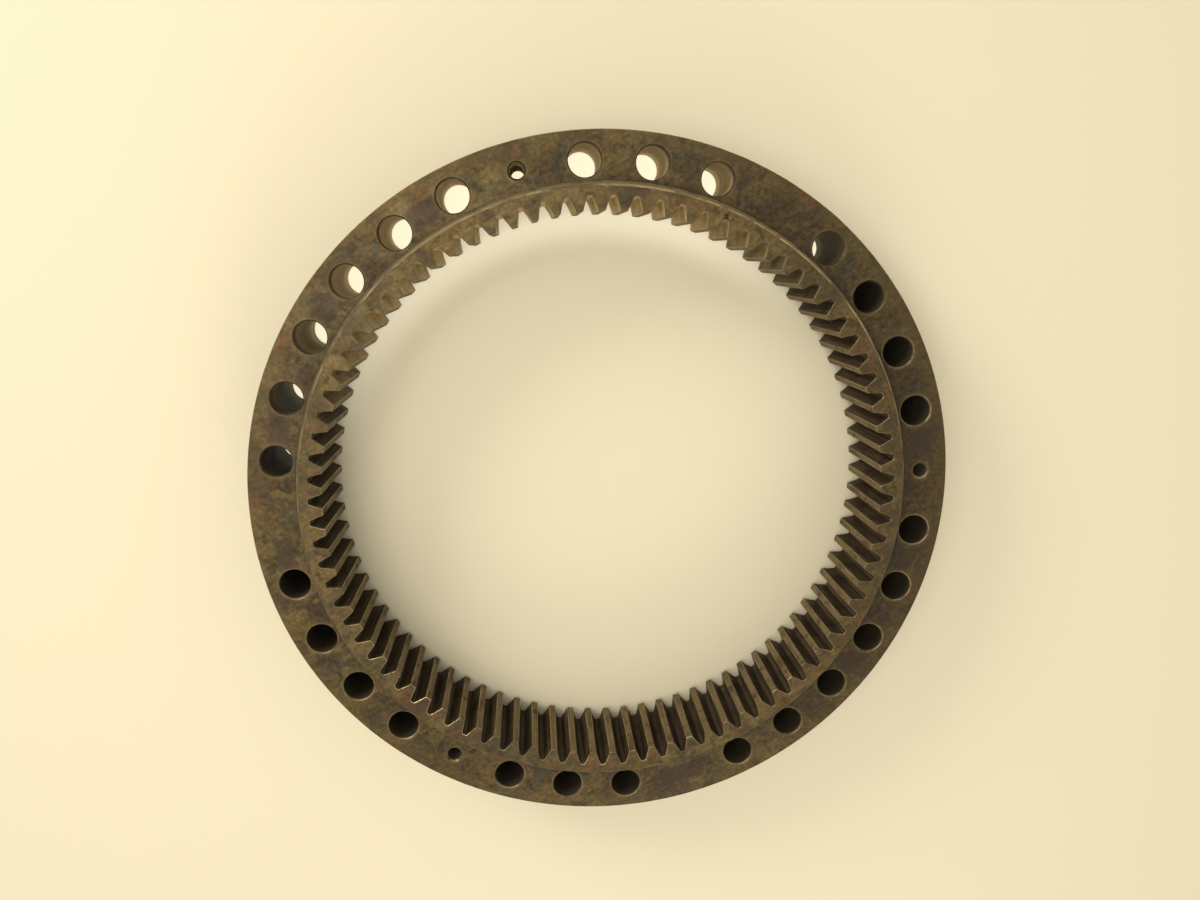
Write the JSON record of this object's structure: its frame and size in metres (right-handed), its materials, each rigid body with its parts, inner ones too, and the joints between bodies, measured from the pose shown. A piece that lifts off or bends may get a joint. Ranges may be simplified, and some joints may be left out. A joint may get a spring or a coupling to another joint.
{
  "type": "slewing ring bearing",
  "caption": "Slewing ring bearing: a drilled flange ring with a flush ball race round an internally toothed inner ring whose rim stands proud on one face.",
  "frame": {"origin": "centre of the outer ring's bottom face, on the slewing axis", "axes": "+Z is the slewing axis, towards the face with the proud toothed rim; +X goes through one of the three tapped holes"},
  "size_m": [0.52, 0.52, 0.0735],
  "materials": {
    "outer_ring_steel": "oiled and stained machined steel",
    "gear_steel": "oiled and stained cut steel, worn bright on its edges",
    "seal_rubber": "black nitrile rubber",
    "plug_steel": "ground steel, stained",
    "cage_brass": "machined brass",
    "ball_steel": "polished bearing steel"
  },
  "bodies": {
    "outer": {"outer_ring": "outer_ring_steel", "upper_seal": "seal_rubber", "lower_seal": "seal_rubber", "filler_plug": "plug_steel", "filler_pin": "plug_steel", "grease_plug_1": "plug_steel", "grease_plug_2": "plug_steel"},
    "inner": {"inner_ring": "gear_steel"},
    "ball_train": {"cage_segment_01": "cage_brass", "cage_segment_02": "cage_brass", "cage_segment_03": "cage_brass", "cage_segment_04": "cage_brass", "cage_segment_05": "cage_brass", "cage_segment_06": "cage_brass", "cage_segment_07": "cage_brass", "cage_segment_08": "cage_brass", "cage_segment_09": "cage_brass", "cage_segment_10": "cage_brass", "cage_segment_11": "cage_brass", "cage_segment_12": "cage_brass", "balls_01": "ball_steel", "balls_02": "ball_steel", "balls_03": "ball_steel", "balls_04": "ball_steel", "balls_05": "ball_steel", "balls_06": "ball_steel", "balls_07": "ball_steel", "balls_08": "ball_steel", "balls_09": "ball_steel", "balls_10": "ball_steel", "balls_11": "ball_steel", "balls_12": "ball_steel"}
  },
  "joints": [
    {"name": "slew", "type": "hinge", "parent": "outer", "child": "inner", "pos_m": [0, 0, 0.032], "axis": [0, 0, 1], "continuous": true},
    {"name": "train_orbit", "type": "hinge", "parent": "outer", "child": "ball_train", "pos_m": [0, 0, 0.032], "axis": [0, 0, 1], "continuous": true}
  ],
  "couplings": [
    {"joint": "train_orbit", "follows": "slew", "ratio": 0.49494}
  ]
}
